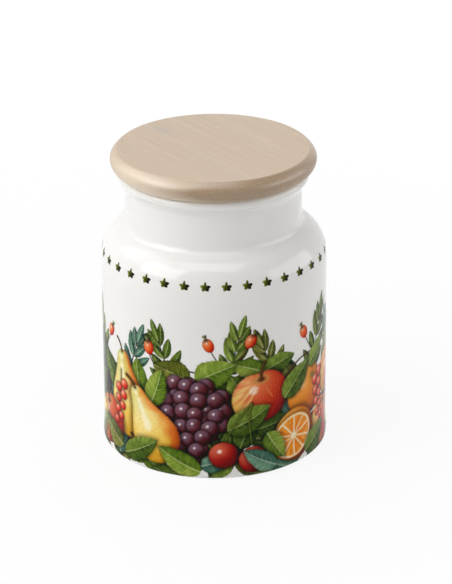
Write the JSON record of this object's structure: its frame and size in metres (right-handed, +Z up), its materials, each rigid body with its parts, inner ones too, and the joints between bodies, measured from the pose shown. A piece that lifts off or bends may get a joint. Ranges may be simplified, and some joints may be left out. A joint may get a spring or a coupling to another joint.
{
  "type": "porcelain canister",
  "caption": "Round porcelain storage canister with a shouldered neck, closed by a turned wooden lid whose plug carries a silicone seal.",
  "frame": {"origin": "centre of the foot ring, on the surface that the jar stands on", "axes": "+Z up along the axis of the jar; the round jar has no front, and -Y faces the viewer"},
  "size_m": [0.1112, 0.1112, 0.1509],
  "materials": {
    "porcelain": "clear glossy glaze with an in-glaze print",
    "beech": "turned, fine sanded and left matt",
    "silicone": "moulded, milky and satin"
  },
  "bodies": {
    "jar": {"jar_body": "porcelain"},
    "seal": {"seal_ring": "silicone"},
    "lid": {"wooden_lid": "beech"}
  },
  "joints": [
    {"name": "lid_lift", "type": "slide", "parent": "jar", "child": "seal", "axis": [0, 0, 1], "range_m": [0, 0.1]},
    {"name": "lid_turn", "type": "hinge", "parent": "seal", "child": "lid", "pos_m": [0, 0, 0.1399], "axis": [0, 0, 1], "continuous": true}
  ]
}
